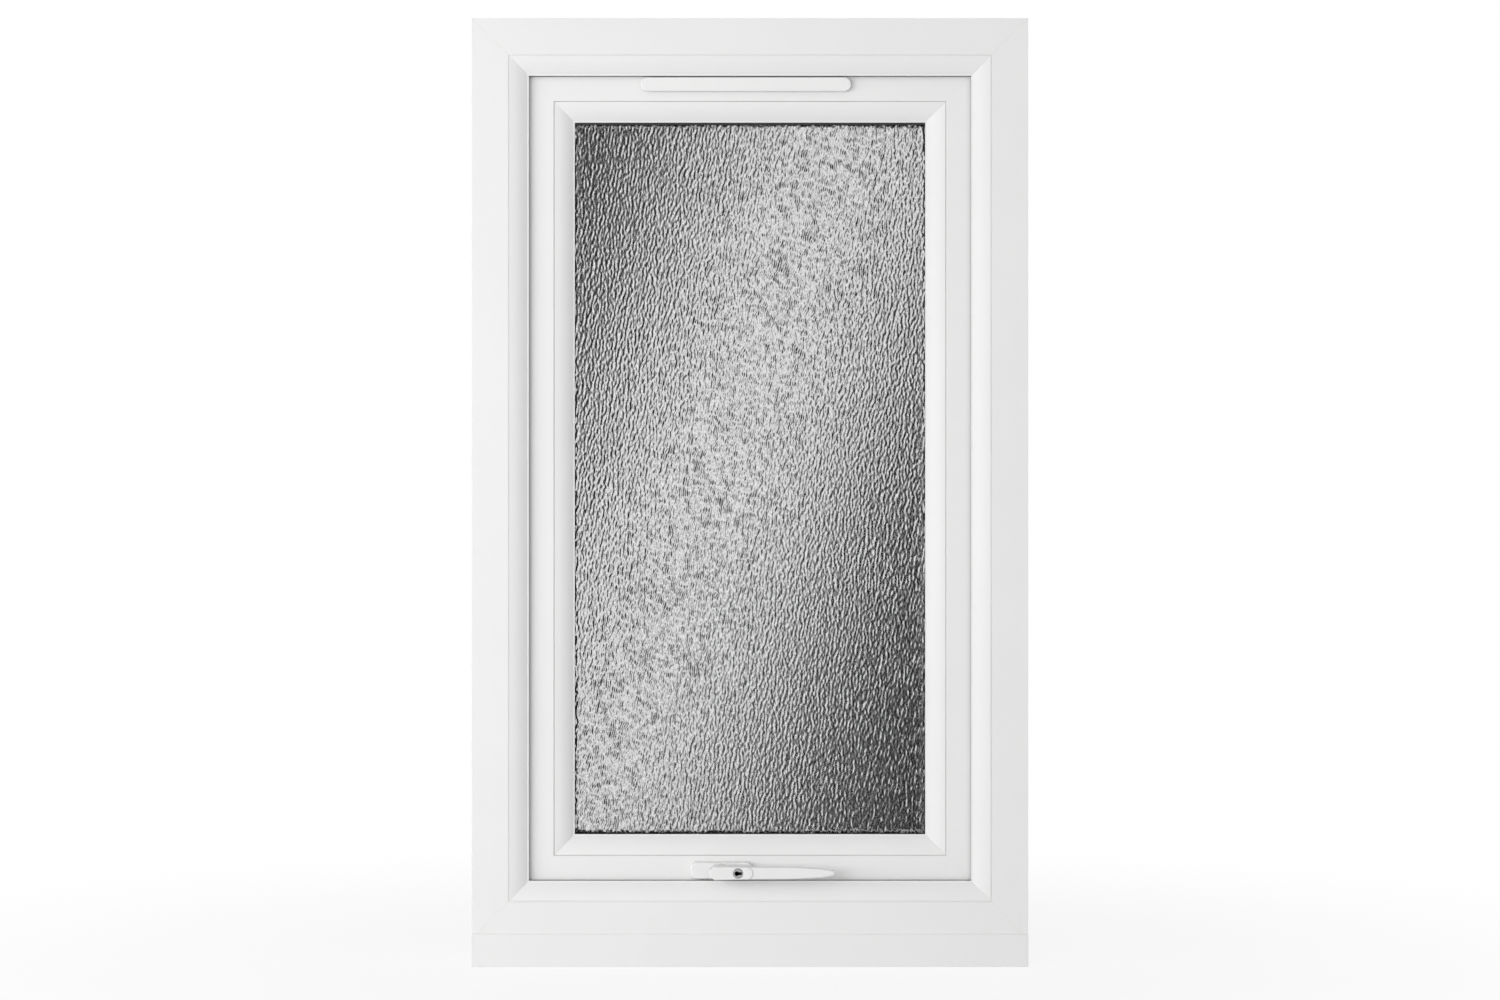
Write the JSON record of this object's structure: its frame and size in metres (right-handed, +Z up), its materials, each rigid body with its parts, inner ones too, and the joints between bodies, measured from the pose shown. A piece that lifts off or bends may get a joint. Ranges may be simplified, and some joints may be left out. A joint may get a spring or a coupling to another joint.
{
  "type": "casement window",
  "caption": "Top-hung, outward-opening plastic casement window on friction stays, with obscured sealed glazing, a locking espagnolette handle, a trickle ventilator and a stub cill.",
  "frame": {"origin": "middle of the cill's underside, midway across the window and midway through the frame's depth", "axes": "+Z up, +Y out of the building, +X to the right as seen from the room"},
  "size_m": [0.556, 0.1225, 0.948],
  "materials": {
    "frame_plastic": "smooth white extruded plastic, semi-gloss",
    "cill_plastic": "smooth white extruded plastic, semi-gloss",
    "sash_plastic": "smooth white extruded plastic, semi-gloss",
    "bead_plastic": "smooth white extruded plastic, semi-gloss",
    "steel": "galvanised",
    "seal_rubber": "matt black",
    "drain_plastic": "moulded white",
    "patterned_glass": "obscured, rolled relief on one face",
    "clear_glass": "clear float",
    "spacer": "mill",
    "sealant": "cured polysulphide",
    "packer_plastic": "moulded",
    "stay_steel": "rolled stainless",
    "shoe_plastic": "moulded nylon",
    "pivot_brass": "turned",
    "screw_steel": "zinc plated",
    "handle_white": "white powder coat, semi-gloss",
    "handle_metal": "zinc plated",
    "lock_chrome": "polished",
    "gear_steel": "zinc plated",
    "case_steel": "zinc plated",
    "keep_zinc": "cast zinc",
    "vent_plastic": "moulded white, semi-gloss",
    "mesh_plastic": "moulded"
  },
  "bodies": {
    "frame": {"frame_head": "frame_plastic", "frame_jamb_left": "frame_plastic", "frame_jamb_right": "frame_plastic", "frame_bottom_rail": "frame_plastic", "frame_reinforcements": "steel", "frame_gasket": "seal_rubber", "frame_weather_seal": "seal_rubber", "drain_caps": "drain_plastic", "cill": "cill_plastic", "cill_end_caps": "cill_plastic", "stay_track_left": "stay_steel", "stay_track_right": "stay_steel", "stay_track_screws": "screw_steel", "stay_pivot_posts": "pivot_brass", "keeps": "keep_zinc", "keep_screws": "screw_steel"},
    "sash": {"sash_head": "sash_plastic", "sash_stile_left": "sash_plastic", "sash_stile_right": "sash_plastic", "sash_bottom_rail": "sash_plastic", "sash_reinforcements": "steel", "bead_top": "bead_plastic", "bead_bottom": "bead_plastic", "bead_left": "bead_plastic", "bead_right": "bead_plastic", "bead_gasket": "seal_rubber", "glazing_gasket": "seal_rubber", "glass_inner": "patterned_glass", "glass_outer": "clear_glass", "spacer_bar": "spacer", "edge_seal": "sealant", "glazing_packers": "packer_plastic", "stay_sash_bar_left": "stay_steel", "stay_sash_bar_right": "stay_steel", "stay_bar_screws": "screw_steel", "stay_rivets": "pivot_brass", "stay_washers": "shoe_plastic", "handle_base": "handle_metal", "handle_backplate": "handle_white", "handle_screws": "screw_steel", "gearbox_case": "case_steel", "gearbox_cover": "case_steel", "espag_faceplate": "case_steel", "faceplate_screws": "screw_steel", "vent_base": "vent_plastic", "vent_screws": "screw_steel", "vent_canopy": "vent_plastic", "vent_mesh": "mesh_plastic"},
    "stay_arm_left": {"stay_arm_left": "stay_steel"},
    "stay_arm_right": {"stay_arm_right": "stay_steel"},
    "shoe_left": {"stay_shoe_left": "shoe_plastic"},
    "shoe_right": {"stay_shoe_right": "shoe_plastic"},
    "handle": {"handle_lever": "handle_white", "handle_spindle": "handle_metal", "gearbox_pinion": "gear_steel"},
    "key": {"key_cylinder": "lock_chrome"},
    "drive_rod": {"drive_rod": "gear_steel", "locking_cams": "gear_steel"},
    "vent_flap": {"vent_flap": "vent_plastic"}
  },
  "joints": [
    {"name": "stay_arm_left_turn", "type": "hinge", "parent": "frame", "child": "stay_arm_left", "pos_m": [-0.2321, 0.005, 0.652], "axis": [1, 0, 0], "range_deg": [-45, 0]},
    {"name": "stay_arm_right_turn", "type": "hinge", "parent": "frame", "child": "stay_arm_right", "pos_m": [0.2321, 0.005, 0.652], "axis": [1, 0, 0], "range_deg": [-45, 0]},
    {"name": "sash_open", "type": "hinge", "parent": "stay_arm_left", "child": "sash", "pos_m": [-0.2321, 0.005, 0.772], "axis": [1, 0, 0], "range_deg": [0, 90]},
    {"name": "shoe_left_turn", "type": "hinge", "parent": "sash", "child": "shoe_left", "pos_m": [-0.2321, 0.005, 0.892], "axis": [1, 0, 0], "range_deg": [-45, 0]},
    {"name": "shoe_right_turn", "type": "hinge", "parent": "sash", "child": "shoe_right", "pos_m": [0.2321, 0.005, 0.892], "axis": [1, 0, 0], "range_deg": [-45, 0]},
    {"name": "handle_turn", "type": "hinge", "parent": "sash", "child": "handle", "pos_m": [-0.0285, -0.025, 0.0955], "axis": [0, -1, 0], "range_deg": [0, 90]},
    {"name": "key_turn", "type": "hinge", "parent": "handle", "child": "key", "pos_m": [-0.0119, -0.051, 0.0955], "axis": [0, -1, 0], "range_deg": [0, 90]},
    {"name": "drive_rod_slide", "type": "slide", "parent": "sash", "child": "drive_rod", "axis": [1, 0, 0], "range_m": [0, 0.01768]},
    {"name": "vent_flap_tilt", "type": "hinge", "parent": "sash", "child": "vent_flap", "pos_m": [0, -0.0236, 0.879], "axis": [1, 0, 0], "range_deg": [0, 25]}
  ],
  "couplings": [
    {"joint": "stay_arm_left_turn", "follows": "sash_open", "ratio": -0.5},
    {"joint": "stay_arm_right_turn", "follows": "sash_open", "ratio": -0.5},
    {"joint": "shoe_left_turn", "follows": "sash_open", "ratio": -0.5},
    {"joint": "shoe_right_turn", "follows": "sash_open", "ratio": -0.5},
    {"joint": "drive_rod_slide", "follows": "handle_turn", "m_per_rad": 0.01125}
  ]
}
